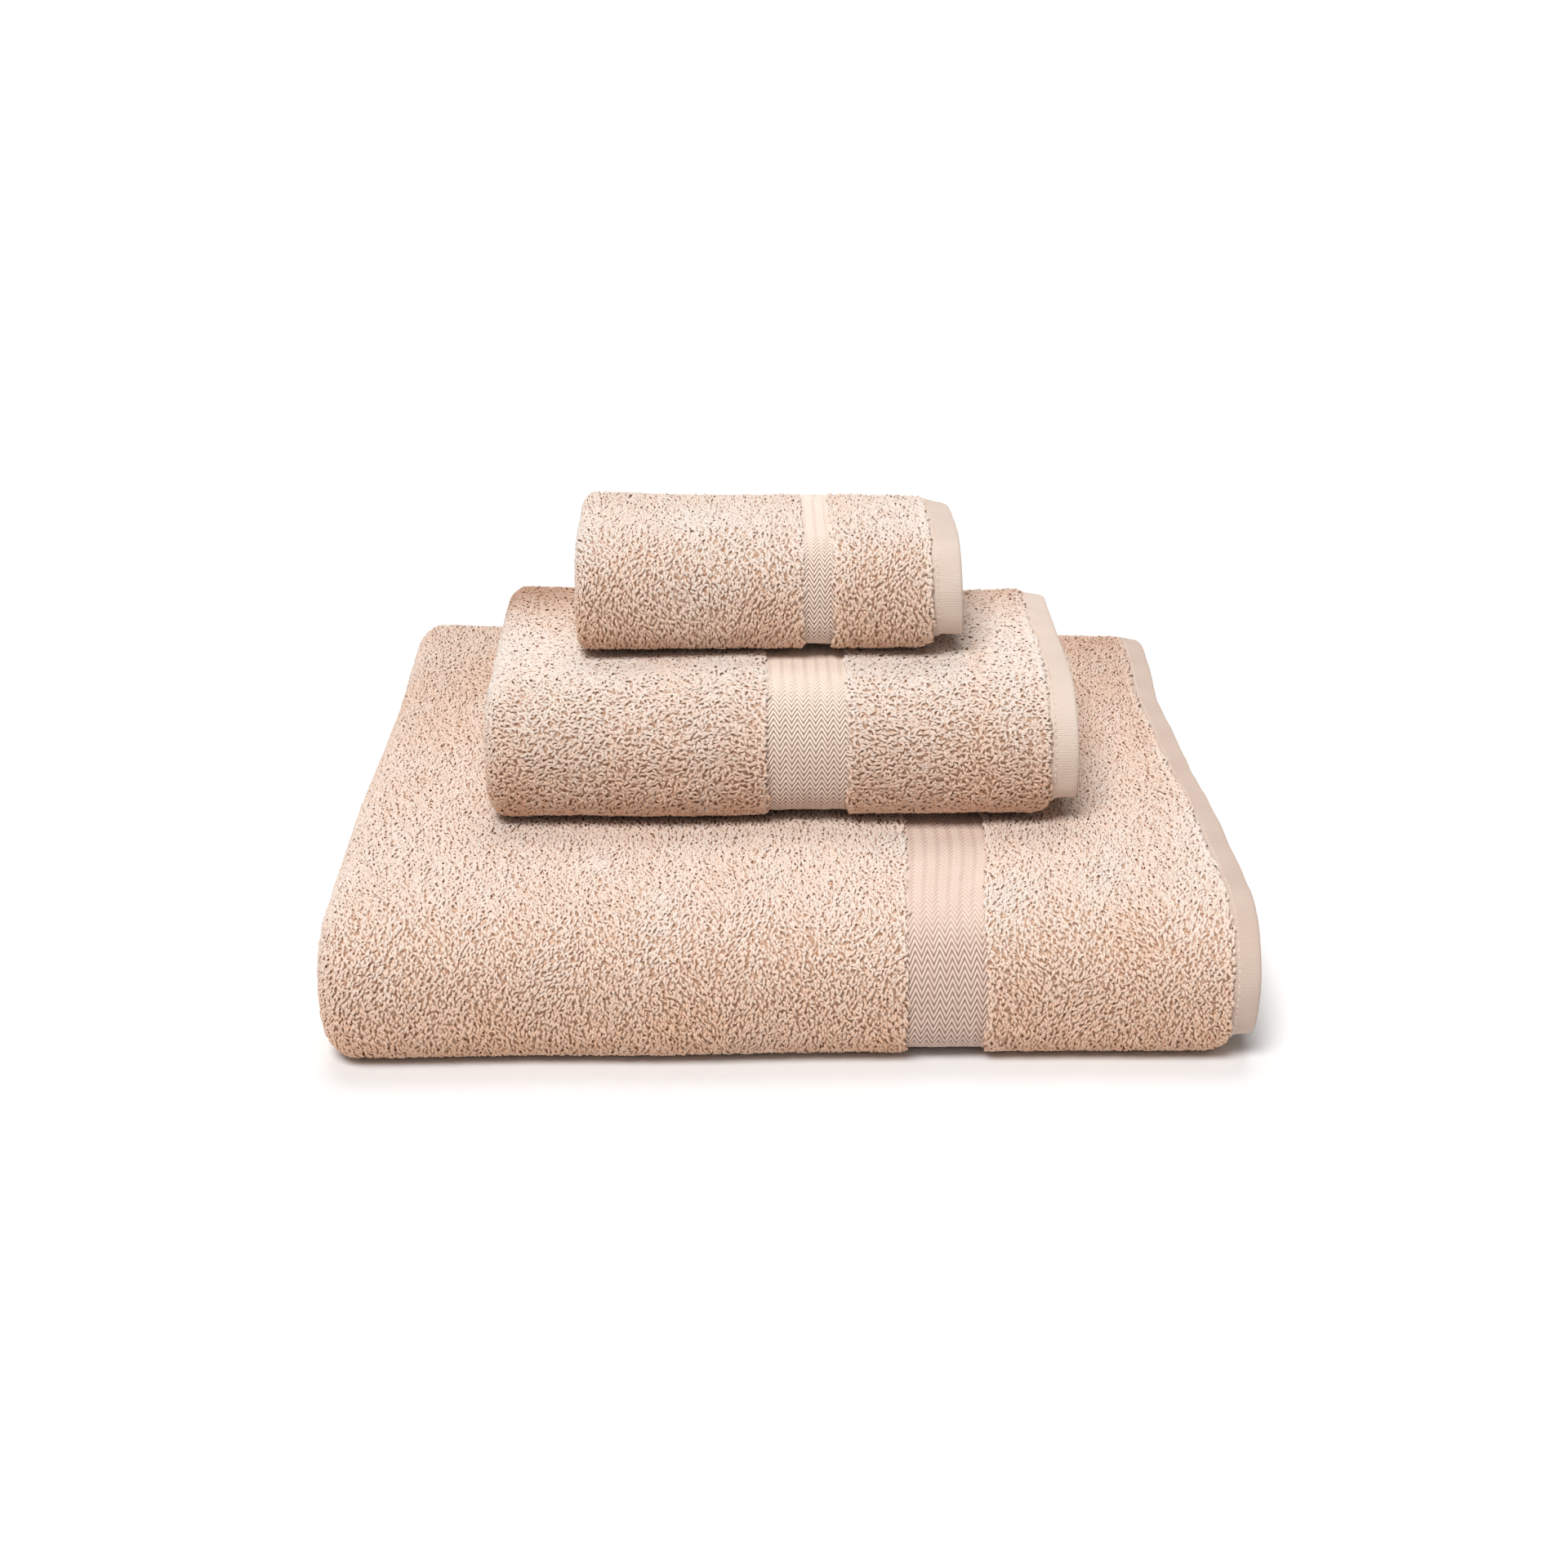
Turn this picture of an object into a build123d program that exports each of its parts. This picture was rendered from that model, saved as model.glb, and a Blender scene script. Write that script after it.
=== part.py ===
"""Bath towel set: a washcloth on a hand towel on a bath towel, each folded flat.

Every towel is one terry cloth with a flat-woven zigzag band near its end, a flat hem
sewn across both ends and a narrow hem along both sides. The towels lie with the outer
end hem at +X and the smooth rounded fold at -Y. The origin is at the bottom centre of
the bath towel, Z is up, and all lengths are in millimetres.
"""
from build123d import *
from dataclasses import dataclass
import os

# Cloth: what is common to the three towels.
PILE_STEP = 2.4            # the flat-woven band and hems lie this far below the pile
BAND_THICKNESS = 2.2
HEM_THICKNESS = 3.0        # folded over and sewn down
SIDE_HEM_WIDTH = 9.0
THREAD_WIDTH = 1.0
THREAD_HEIGHT = 0.5
THREAD_INSET = 2.5         # stitching runs this far from the hem's inner edge
THREAD_SINK = 0.02         # clearance between the thread and the hem under it
PIECE_GAP = 0.2            # clearance between neighbouring pieces of one towel
TOWEL_GAP = 0.5            # clearance between one towel and the next

# Fold shape: the rounded front, as shares of the towel's own thickness.
NOSE_SHARE = 0.47          # height of the furthest forward point of the fold
SHOULDER_SHARE = 0.64      # how far back the top starts to turn down
UNDER_SHARE = 0.34         # how far back the fold meets what it lies on
END_BULGE_SHARE = 0.38     # roundness of the folded left end
CUT_MARGIN = 5.0           # how far a cutting solid reaches past what it cuts
JOIN_OVERLAP = 1.0         # how far neighbouring blocks of one piece run into each other


@dataclass
class Towel:
    """One folded towel: its outer size, its place, and where its band and hem run."""
    name: str
    width: float           # along X, from the folded end to the outer end hem
    depth: float           # along Y, from the rounded front fold to the back
    height: float          # all the layers, lying flat
    centre_x: float
    front_y: float
    base_z: float
    band_start: float      # X distances from the towel's centre line
    band_end: float
    hem_width: float
    inner_end_beside: bool  # the second end hem lies beside the outer one
    both_sides_at_back: bool  # a half fold brings both side hems to the back
    corner: float          # radius of the two folded corners, seen from above

    @property
    def left(self):
        return self.centre_x - self.width / 2

    @property
    def right(self):
        return self.centre_x + self.width / 2

    @property
    def back_y(self):
        return self.front_y + self.depth

    @property
    def hem_start(self):
        return self.right - self.hem_width

    @property
    def nose_z(self):
        return self.base_z + NOSE_SHARE * self.height


BATH_HEIGHT = 58.0
HAND_HEIGHT = 57.0
WASH_HEIGHT = 50.0
BATH_DEPTH = 355.0
HAND_SET_BACK = 98.0       # front fold of the hand towel behind that of the bath towel
WASH_SET_BACK = 143.0      # front fold of the washcloth behind that of the bath towel
BATH_FRONT = -BATH_DEPTH / 2

TOWELS = [
    Towel(name="bath_towel", width=358, depth=BATH_DEPTH, height=BATH_HEIGHT,
          centre_x=0, front_y=BATH_FRONT, base_z=0,
          band_start=43.5, band_end=75.7, hem_width=11.5,
          inner_end_beside=True, both_sides_at_back=True, corner=22),
    Towel(name="hand_towel", width=243, depth=146, height=HAND_HEIGHT,
          centre_x=-1, front_y=BATH_FRONT + HAND_SET_BACK,
          base_z=BATH_HEIGHT + TOWEL_GAP,
          band_start=-7.2, band_end=28.4, hem_width=12.6,
          inner_end_beside=False, both_sides_at_back=False, corner=18),
    Towel(name="washcloth", width=161, depth=84, height=WASH_HEIGHT,
          centre_x=-6, front_y=BATH_FRONT + WASH_SET_BACK,
          base_z=BATH_HEIGHT + HAND_HEIGHT + 2 * TOWEL_GAP,
          band_start=13.8, band_end=28.4, hem_width=13.2,
          inner_end_beside=True, both_sides_at_back=False, corner=14),
]


def quarter_ellipse(centre, across, upright, start):
    """A quarter of an ellipse, counter-clockwise from the start angle in degrees."""
    return EllipticalCenterArc(centre, across, upright, start_angle=start, arc_size=90)


def fold_section(towel, inset, back_y):
    """Side view of the folded towel, pulled in by inset, with a flat back at back_y."""
    top = towel.base_z + towel.height - inset
    bottom = towel.base_z + inset
    front = towel.front_y + inset
    shoulder = towel.front_y + SHOULDER_SHARE * towel.height
    under = towel.front_y + UNDER_SHARE * towel.height
    nose = towel.nose_z
    outline = [
        Line((under, bottom), (back_y, bottom)),
        Line((back_y, bottom), (back_y, top)),
        Line((back_y, top), (shoulder, top)),
        quarter_ellipse((shoulder, nose), shoulder - front, top - nose, 90),
        quarter_ellipse((under, nose), under - front, nose - bottom, 180),
    ]
    return make_face(Curve() + outline)


def fold_block(towel, inset, start_x, end_x, back_y):
    """The side view carried along X."""
    section = fold_section(towel, inset, back_y)
    return extrude(Plane.YZ.offset(start_x) * section, amount=end_x - start_x)


def fold_strip(towel, inset, thickness, start_x, end_x):
    """A strip of cloth that lies on the top, runs down the front fold and goes under."""
    outer = fold_block(towel, inset, start_x, end_x, towel.back_y)
    inner = fold_block(towel, inset + thickness, start_x - CUT_MARGIN, end_x + CUT_MARGIN,
                       towel.back_y + CUT_MARGIN)
    return outer - inner


def end_view_block(towel):
    """The towel seen from the front: a rounded fold at the left, a flat right end."""
    top = towel.base_z + towel.height
    bottom = towel.base_z
    left = towel.left
    turn = left + END_BULGE_SHARE * towel.height
    right = towel.right + CUT_MARGIN
    nose = towel.nose_z
    outline = [
        Line((turn, bottom), (right, bottom)),
        Line((right, bottom), (right, top)),
        Line((right, top), (turn, top)),
        quarter_ellipse((turn, nose), turn - left, top - nose, 90),
        quarter_ellipse((turn, nose), turn - left, nose - bottom, 180),
    ]
    section = make_face(Curve() + outline)
    near_y = towel.front_y - CUT_MARGIN
    near_plane = Plane(origin=(0, near_y, 0), x_dir=(1, 0, 0), z_dir=(0, -1, 0))
    return extrude(near_plane * section, amount=-(towel.depth + 2 * CUT_MARGIN))


def plan_block(towel):
    """The towel seen from above, its two folded corners rounded, carried up in Z."""
    right = towel.right + CUT_MARGIN
    centre = ((towel.left + right) / 2, (towel.front_y + towel.back_y) / 2)
    outline = Pos(*centre) * Rectangle(right - towel.left, towel.depth)
    folded_corners = outline.vertices().group_by(Axis.X)[0]
    outline = fillet(folded_corners, radius=towel.corner)
    floor = Pos(0, 0, towel.base_z - CUT_MARGIN) * outline
    return extrude(floor, amount=towel.height + 2 * CUT_MARGIN)


def side_hem_strip(towel, at_top):
    """The narrow hem along one long side of the cloth, lying at the back."""
    start_x = towel.left + towel.corner
    end_x = towel.hem_start - PIECE_GAP
    front = towel.back_y - SIDE_HEM_WIDTH
    middle_z = towel.base_z + PILE_STEP + HEM_THICKNESS / 2
    if at_top:
        middle_z = towel.base_z + towel.height - PILE_STEP - HEM_THICKNESS / 2
    place = Pos((start_x + end_x) / 2, (front + towel.back_y) / 2, middle_z)
    return place * Box(end_x - start_x, SIDE_HEM_WIDTH, HEM_THICKNESS)


def side_hem_room(towel, at_top):
    """The step along a back edge that a side hem lies in, open above it and behind it."""
    start_x = towel.left + towel.corner - PIECE_GAP
    front = towel.back_y - SIDE_HEM_WIDTH - PIECE_GAP
    step = PILE_STEP + HEM_THICKNESS + PIECE_GAP
    length = towel.width
    depth = SIDE_HEM_WIDTH + CUT_MARGIN
    middle_z = towel.base_z + (step - CUT_MARGIN) / 2
    if at_top:
        middle_z = towel.base_z + towel.height - (step - CUT_MARGIN) / 2
    place = Pos(start_x + length / 2, front + depth / 2, middle_z)
    return place * Box(length, depth, step + CUT_MARGIN)


def side_hem_levels(towel):
    """Which back edges show a side hem: the top one, and the lower one of a half fold."""
    return [True, False] if towel.both_sides_at_back else [True]


def inner_end_box(towel, clearance):
    """A flat strip in the middle of the stack, beside the left fold, grown by clearance."""
    start_x = towel.left + END_BULGE_SHARE * towel.height
    depth = towel.depth - 2 * SHOULDER_SHARE * towel.height
    place = Pos(start_x + towel.hem_width / 2, towel.front_y + towel.depth / 2, towel.nose_z)
    return place * Box(towel.hem_width + 2 * clearance, depth + 2 * clearance,
                       HEM_THICKNESS + 2 * clearance)


def inner_end_hem(towel):
    """The hem of the cloth's other end, which the folding leaves inside the stack."""
    if towel.inner_end_beside:
        inset = PILE_STEP + HEM_THICKNESS + PIECE_GAP
        return fold_strip(towel, inset, HEM_THICKNESS, towel.hem_start, towel.right)
    return inner_end_box(towel, 0)


def terry_cloth(towel):
    """The folded terry: a core of inner layers under two outer stretches of pile."""
    band_depth = PILE_STEP + BAND_THICKNESS + PIECE_GAP
    hem_layers = 2 if towel.inner_end_beside else 1
    hem_depth = PILE_STEP + hem_layers * (HEM_THICKNESS + PIECE_GAP)
    band_start = towel.centre_x + towel.band_start
    band_end = towel.centre_x + towel.band_end
    left_pile = fold_block(towel, 0, towel.left, band_start - PIECE_GAP, towel.back_y)
    core = fold_block(towel, band_depth, band_start - JOIN_OVERLAP, band_end + JOIN_OVERLAP,
                      towel.back_y)
    right_pile = fold_block(towel, 0, band_end + PIECE_GAP, towel.hem_start - PIECE_GAP,
                            towel.back_y)
    hem_core = fold_block(towel, hem_depth, towel.hem_start - JOIN_OVERLAP, towel.right,
                          towel.back_y)
    cloth = left_pile + core + right_pile + hem_core
    cloth = cloth & end_view_block(towel) & plan_block(towel)
    for at_top in side_hem_levels(towel):
        cloth -= side_hem_room(towel, at_top)
    if not towel.inner_end_beside:
        cloth -= inner_end_box(towel, PIECE_GAP)
    return cloth


def dobby_band(towel):
    """The flat-woven zigzag band, lower than the pile on both sides of it."""
    start_x = towel.centre_x + towel.band_start
    end_x = towel.centre_x + towel.band_end
    strip = fold_strip(towel, PILE_STEP, BAND_THICKNESS, start_x, end_x)
    for at_top in side_hem_levels(towel):
        strip -= side_hem_room(towel, at_top)
    return strip


def outer_end_hem(towel):
    """The flat hem sewn across the end of the cloth that shows at the right."""
    return fold_strip(towel, PILE_STEP, HEM_THICKNESS, towel.hem_start, towel.right)


def side_hems(towel):
    """The narrow hems along the cloth's long sides, where the folding leaves them."""
    strips = [side_hem_strip(towel, at_top) for at_top in side_hem_levels(towel)]
    return Compound(children=strips) if len(strips) > 1 else strips[0]


def hem_thread(towel):
    """The row of stitching along the inner edge of the outer end hem."""
    start_x = towel.hem_start + THREAD_INSET
    return fold_strip(towel, PILE_STEP - THREAD_HEIGHT, THREAD_HEIGHT - THREAD_SINK,
                      start_x, start_x + THREAD_WIDTH)


def write_node(name, shape):
    shape.label = name
    export_step(shape, os.path.join("parts", name + ".step"))


os.makedirs("parts", exist_ok=True)
for towel in TOWELS:
    write_node(towel.name + "_terry", terry_cloth(towel))
    write_node(towel.name + "_band", dobby_band(towel))
    write_node(towel.name + "_end_hem", outer_end_hem(towel))
    write_node(towel.name + "_inner_end_hem", inner_end_hem(towel))
    write_node(towel.name + "_side_hems", side_hems(towel))
    write_node(towel.name + "_hem_thread", hem_thread(towel))
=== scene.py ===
"""The looks of a bath towel set: three folded terry towels in a stack.

Each towel is one flat cloth, described by s, the distance along it from the end hem that
shows, and t, the distance across it from one side hem. Fold.place() says where a point of
that cloth lies once the towel is folded, and every piece of a towel goes through it.
Lengths are in metres.
"""
import math
from dataclasses import dataclass

import bpy
import numpy as np
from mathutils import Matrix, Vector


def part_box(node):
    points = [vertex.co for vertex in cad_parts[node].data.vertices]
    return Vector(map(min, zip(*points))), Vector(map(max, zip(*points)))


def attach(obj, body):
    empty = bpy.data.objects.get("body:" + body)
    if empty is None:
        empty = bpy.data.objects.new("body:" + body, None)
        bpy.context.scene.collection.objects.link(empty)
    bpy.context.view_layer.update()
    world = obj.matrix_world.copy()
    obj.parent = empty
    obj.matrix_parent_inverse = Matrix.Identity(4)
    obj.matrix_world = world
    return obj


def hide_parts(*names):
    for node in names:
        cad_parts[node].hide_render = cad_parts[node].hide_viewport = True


MM = 0.001

# Cloth: what is common to the three towels.
PILE = 2.4 * MM              # the loops stand this high above the woven ground
HEM_THICKNESS = 3.0 * MM
SIDE_HEM = 9.0 * MM
FILL_GAP = 0.3 * MM          # between neighbouring layers deep inside the stack
HEM_COVER = 1.1 * MM         # the ground cloth lies this far inside both faces of a hem
BAND_SEAT = 0.8 * MM         # the ground lies this much lower under the zigzag band
MAT_DEPTH = 0.75 * MM        # between loops, matted yarn fills the pile up to here
RIB = 0.9 * MM               # from one rib of a hem's weave to the next
OPEN_PILE = 9.0 * MM         # how far in from an edge the pile between layers can be seen
FILL_RAMP = 4.0 * MM         # further in, the layers fill out over this length
SHOWN_PAST = 6.0 * MM        # past a fold that shows, the cloth keeps its outer face up to here,
LOOPS_PAST = 8.0 * MM        # its loops up to here,
FILLED_PAST = 14.0 * MM      # and fills out fully from here

# Fold shape: the rounded front, as shares of the towel's own thickness.
NOSE_SHARE = 0.47
SHOULDER_SHARE = 0.64
UNDER_SHARE = 0.34
CORE_SHARE = 0.5             # how far behind the front the innermost fold turns
UNDER_FULLNESS = 0.80        # 1 gives an elliptical underside, less a fuller one
BACK_REACH = 3.0 * MM        # the cloth reaches this far past its solid at the back
BACK_DROOP = 1.2 * MM        # the free edges at the back hang this much lower
HEM_DROOP = 1.0 * MM         # and the end hem at the right this much
HEM_LIFT_SHARE = 0.085       # how much of its height the underside is raised at the hem

# Settling: how the cloth departs from a square fold, besides what each towel says.
SIDE_STRAY = 2.2 * MM        # the layers' side edges wander by about this much
END_CREEP = 1.2 * MM         # and their ends by this much
SIDE_REACH = 50 * MM         # swelling at the left and right reaches this far in
HEM_REACH = 16 * MM          # and the end hem's droop this far
LEFT_CORNER = 16 * MM        # radius of the back corner at the left
RIGHT_CORNER = 9 * MM        # and at the right

# Yarn: the directions of its cross-section's corners, in degrees from the cloth's surface.
LOOP_PROFILE = (-8, 90, 188)
STITCH_PROFILE = (-20, 35, 90, 145, 200)
STITCH_LENGTH = 2.6 * MM
STITCH_GAP = 0.7 * MM
STITCH_RADIUS = 0.33 * MM
UV_MARGIN = 0.04             # free share of a yarn's cell of the texture, on each side

# Zigzag band.
BAND_SHARES = (0.0, 0.1, 0.22, 0.4, 0.6, 0.78, 0.9)  # mesh rows from one groove to the next
BAND_EDGE = 0.5 * MM         # half the width over which it sinks at each side
BAND_RELIEF = 0.65 * MM      # from groove to ridge


@dataclass
class Towel:
    """One towel: its cut size, how it is folded, and its yarn and band."""
    name: str
    cut: tuple               # flat width and length
    runs: tuple              # depth order of the lengthwise layers, outermost is 1
    panels: int              # how many times its width the cloth is folded across
    settle: float            # how far its surface rises and falls
    back_shift: tuple        # how far its back edge lies further back, at the left and right
    back_lift: tuple         # how much higher the back edge is, at the left and right
    side_swell: tuple        # how far its sides bulge near the front, at the left and right
    back_flare: float        # how much further right the back of the hem lies
    band_lean: float         # how far the cloth beside the band is pulled right, behind the front
    loop_length: float
    loop_radius: float
    loop_spacing: float
    loop_angle: float        # main direction of the loops, in degrees from the length
    loop_spread: float       # how far loops turn from it, in degrees
    paleness: float          # added to the tone of its yarn
    # Painted shade at the back: a towel's loops show less of their pale crests there.
    painted_back_shade: tuple          # how much less its crests show at the back, at the left and right
    weave_tone: float        # tone of its band and hems, 0 dark to 1 pale
    zigzag_pitch: float      # from one zigzag column to the next, along the length
    zigzag_step: float       # from one zigzag line to the next, across the cloth
    zigzag_rise: float       # how far a zigzag line climbs, in steps
    seed: int


TOWELS = [
    Towel(name="bath_towel", cut=(0.70, 1.40), runs=(1, 4, 3, 2), panels=2, settle=1.0 * MM,
          back_shift=(6 * MM, -4 * MM), back_lift=(3.5 * MM, -2.5 * MM),
          side_swell=(3 * MM, 2.5 * MM), back_flare=8 * MM, band_lean=8 * MM,
          loop_length=2.5 * MM, loop_radius=0.56 * MM, loop_spacing=1.48 * MM,
          loop_angle=90, loop_spread=42, paleness=-0.04, painted_back_shade=(0.35, 0.60), weave_tone=0.40,
          zigzag_pitch=4.66 * MM, zigzag_step=3.53 * MM, zigzag_rise=1.7, seed=11),
    Towel(name="hand_towel", cut=(0.41, 0.71), runs=(1, 3, 2), panels=3, settle=0.9 * MM,
          back_shift=(5 * MM, 1 * MM), back_lift=(2.5 * MM, 0.5 * MM),
          side_swell=(0.0, 0.0), back_flare=0.0, band_lean=0.0,
          loop_length=3.0 * MM, loop_radius=0.60 * MM, loop_spacing=1.54 * MM,
          loop_angle=0, loop_spread=90, paleness=0.08, painted_back_shade=(0.80, 0.60), weave_tone=1.0,
          zigzag_pitch=4.87 * MM, zigzag_step=2.65 * MM, zigzag_rise=1.7, seed=23),
    Towel(name="washcloth", cut=(0.31, 0.31), runs=(1, 2), panels=4, settle=0.7 * MM,
          back_shift=(1.5 * MM, -1 * MM), back_lift=(1.2 * MM, -1.2 * MM),
          side_swell=(0.0, 0.0), back_flare=0.0, band_lean=0.0,
          loop_length=2.7 * MM, loop_radius=0.58 * MM, loop_spacing=1.50 * MM,
          loop_angle=90, loop_spread=40, paleness=0.06, painted_back_shade=(0.25, 0.25), weave_tone=0.9,
          zigzag_pitch=4.54 * MM, zigzag_step=2.58 * MM, zigzag_rise=1.7, seed=37),
]

# Colours as linear red, green and blue. A pair is for a tone of 0 and a tone of 1.
# Loops: painted shade darkest at their feet, lighter on their flanks, and pale crests.
LOOP_FOOT_SHADE = (0.38, 0.18, 0.09)
LOOP_SIDE = ((0.66, 0.34, 0.185), (0.80, 0.64, 0.54))
LOOP_TIP = ((0.97, 0.65, 0.46), (0.92, 0.855, 0.80))
# Ground: the matted yarn's uneven tone, deepened into painted shade down between the loops.
GROUND_AND_SHADE = ((0.40, 0.21, 0.12), (0.80, 0.57, 0.43))
# Band: painted shade in the grooves, pale ridges.
BAND_GROOVE_SHADE = (0.30, 0.17, 0.11)
BAND_RIDGE = ((0.77, 0.58, 0.495), (0.96, 0.82, 0.715))
HEM = ((0.64, 0.485, 0.40), (0.88, 0.73, 0.63))
THREAD = ((0.74, 0.58, 0.48), (0.80, 0.66, 0.57))
WHITE = (1.0, 1.0, 1.0)
FLOOR_COLOUR = (0.91, 0.91, 0.91)

# Studio. A light has a name, a strength, and in degrees an apparent width and how far it
# stands from straight above towards the front and towards the right.
ROOM_STRENGTH = 0.22
FLOOR_REACH = 60.0
SOFTBOXES = [("key", 2.4, 26, 26, -14), ("overhead", 1.1, 40, -24, 0)]

# Camera: focal length in mm, place, and in degrees how far it looks down and turns right.
LENS = 57.45
CAMERA_PLACE = (-0.0199, -1.0186, 0.467)
LOOKS_DOWN = 22.47
TURNS_RIGHT = 1.2


def smooth(x, start, end):
    """0 before start, 1 after end, and a smooth ramp between them."""
    share = np.clip((x - start) / (end - start), 0, 1)
    return share * share * (3 - 2 * share)


def ripple(a, b, size, seed):
    """Gentle uneven waves, about -1 to 1, with bumps about size across."""
    rng = np.random.default_rng(seed)
    total = np.zeros(np.broadcast(a, b).shape)
    count = 6
    for _ in range(count):
        angle = rng.uniform(0, math.pi)
        number = 2 * math.pi / (size * rng.uniform(1.3, 3.0))
        phase = rng.uniform(0, 2 * math.pi)
        total = total + np.sin((a * math.cos(angle) + b * math.sin(angle)) * number + phase)
    return total / math.sqrt(count) / 1.4


class Fold:
    """Where each point of one towel's cloth lies in the folded towel."""

    def __init__(self, towel):
        self.towel = towel
        names = [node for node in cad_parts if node.startswith(towel.name)]
        boxes = [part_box(node) for node in names]
        low = np.min([box[0] for box in boxes], axis=0)
        high = np.max([box[1] for box in boxes], axis=0)
        self.left, self.front, self.base = low
        self.right, self.back, self.top = high
        self.back += BACK_REACH
        self.height = self.top - self.base
        self.hem = self.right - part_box(towel.name + "_end_hem")[0].x
        band_low, band_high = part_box(towel.name + "_band")
        self.band = (self.right - band_high.x, self.right - band_low.x)
        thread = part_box(towel.name + "_hem_thread")
        self.thread = self.right - sum(corner.x for corner in thread) / 2
        layers = len(towel.runs) * towel.panels
        self.pitch = self.height / layers
        self.stack = len(towel.runs) * self.pitch
        self.skin = self.pitch / 2 - PILE
        self.trace_length()
        self.trace_width()

    def trace_length(self):
        """Follows the lengthwise folds as a line of points in x and depth from the skin."""
        runs = self.towel.runs
        depth = [(run - 0.5) * self.pitch for run in runs]
        turn_left = self.left + (runs[1] - 1) * self.pitch / 2 + self.pitch / 2
        turn_right = self.right - 1.3 * self.pitch
        along, x, inset, nx, ni = [0.0], [self.right], [depth[0]], [0.0], [-1.0]
        self.bends = []
        heading = -1
        for k in range(len(runs)):
            last = k == len(runs) - 1
            goal = turn_left if heading < 0 else turn_right
            if last:
                goal = turn_left + 2 * MM if heading < 0 else self.right - 1.5 * MM
            along.append(along[-1] + abs(goal - x[-1]))
            x.append(goal)
            inset.append(depth[k])
            nx.append(0.0)
            ni.append(float(heading))
            if last:
                break
            radius = abs(depth[k + 1] - depth[k]) / 2
            centre = (depth[k + 1] + depth[k]) / 2
            inwards = depth[k + 1] > depth[k]
            outward = (heading < 0) == inwards
            skin = self.pitch / 2 if outward else 0.0
            arc_start, arc = along[-1], math.pi * (radius + skin)
            self.bends.append((arc_start, arc_start + arc))
            sign = 1 if outward else -1
            for step in range(1, 33):
                turn = math.pi * step / 32
                down = -math.cos(turn) if inwards else math.cos(turn)
                along.append(arc_start + arc * step / 32)
                x.append(goal + heading * radius * math.sin(turn))
                inset.append(centre + radius * down)
                nx.append(sign * heading * math.sin(turn))
                ni.append(sign * down)
            heading = -heading
        self.length = along[-1]
        self.length_line = [np.array(values) for values in (along, x, inset, nx, ni)]

    def trace_width(self):
        """Follows the outermost layer in side view: bottom back, front fold, top back."""
        towel = self.towel
        shoulder = self.front + SHOULDER_SHARE * self.height
        under = self.front + UNDER_SHARE * self.height
        nose = self.base + NOSE_SHARE * self.height
        self.turn_back = self.back - self.stack
        bottom_back = self.back if towel.panels == 2 else self.turn_back
        quarter = np.linspace(0, math.pi / 2, 49)[1:]
        under_y = under - (under - self.front) * np.sin(quarter) ** UNDER_FULLNESS
        under_z = nose - (nose - self.base) * np.maximum(np.cos(quarter), 0) ** UNDER_FULLNESS
        y = np.concatenate([[bottom_back, under], under_y,
                            shoulder - (shoulder - self.front) * np.cos(quarter), [self.back]])
        z = np.concatenate([[self.base, self.base], under_z,
                            nose + (self.top - nose) * np.sin(quarter), [self.top]])
        u = np.concatenate([[0], np.cumsum(np.hypot(np.diff(y), np.diff(z)))])
        self.skin_line = (u, y, z)
        self.around = u[-1]
        self.under_at = u[1]
        self.shoulder_at = u[-2]
        self.bend_back = math.pi * self.stack
        inner = 0.0
        if towel.panels == 3:
            inner = self.turn_back - self.front - CORE_SHARE * self.height
        if towel.panels == 4:
            inner = self.around
        extra = self.bend_back if towel.panels > 2 else 0.0
        self.width = self.around + extra + inner

    def wrap(self, u, inset):
        """A point u along the outer skin in side view, moved in towards the middle layer."""
        line_u, line_y, line_z = self.skin_line
        y = np.interp(u, line_u, line_y)
        z = np.interp(u, line_u, line_z)
        core_y = np.maximum(y, self.front + CORE_SHARE * self.height)
        core_z = self.base + self.height / 2
        share = inset / (self.height / 2)
        return y + share * (core_y - y), z + share * (core_z - z)

    def across(self, t, inset):
        """Side view place of a point t across the cloth, at a depth in the lengthwise fold."""
        towel = self.towel
        if towel.panels == 2:
            return self.wrap(t, inset)
        y, z = self.wrap(self.around - t, inset)
        turn = np.clip((t - self.around) / self.bend_back, 0, 1) * math.pi
        radius = self.stack - inset
        bend_y = self.turn_back + radius * np.sin(turn)
        bend_z = self.base + self.stack - radius * np.cos(turn)
        further = t - self.around - self.bend_back
        if towel.panels == 3:
            inner_y = self.turn_back - further
            inner_z = self.base + 2 * self.stack - inset
        else:
            inner_y, inner_z = self.wrap(further, 2 * self.stack - inset)
        y = np.where(t <= self.around, y, np.where(further <= 0, bend_y, inner_y))
        z = np.where(t <= self.around, z, np.where(further <= 0, bend_z, inner_z))
        return y, z

    def place(self, s, t, rise):
        """The point of the folded towel at s, t, and rise above the cloth's middle."""
        s, t, rise = np.broadcast_arrays(s, t, rise)
        line_s, line_x, line_inset, line_nx, line_ni = self.length_line
        seed = self.towel.seed
        edge = np.minimum(t, self.width - t)
        stray = SIDE_STRAY * ripple(s, 0 * s, 0.09, seed + 1) * (1 - smooth(edge, 0, 0.07))
        end = np.minimum(s, self.length - s)
        creep = END_CREEP * ripple(t, 0 * t, 0.06, seed + 2) * (1 - smooth(end, 0, 0.05))
        x = np.interp(s, line_s, line_x) + rise * np.interp(s, line_s, line_nx) + creep
        inset = np.interp(s, line_s, line_inset) + rise * np.interp(s, line_s, line_ni)
        inside = t + stray * np.sign(t - self.width / 2) * -1
        y, z = self.across(np.clip(inside, 0, self.width), inset)
        return self.settle(np.stack([x, y, z], axis=-1))

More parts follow.
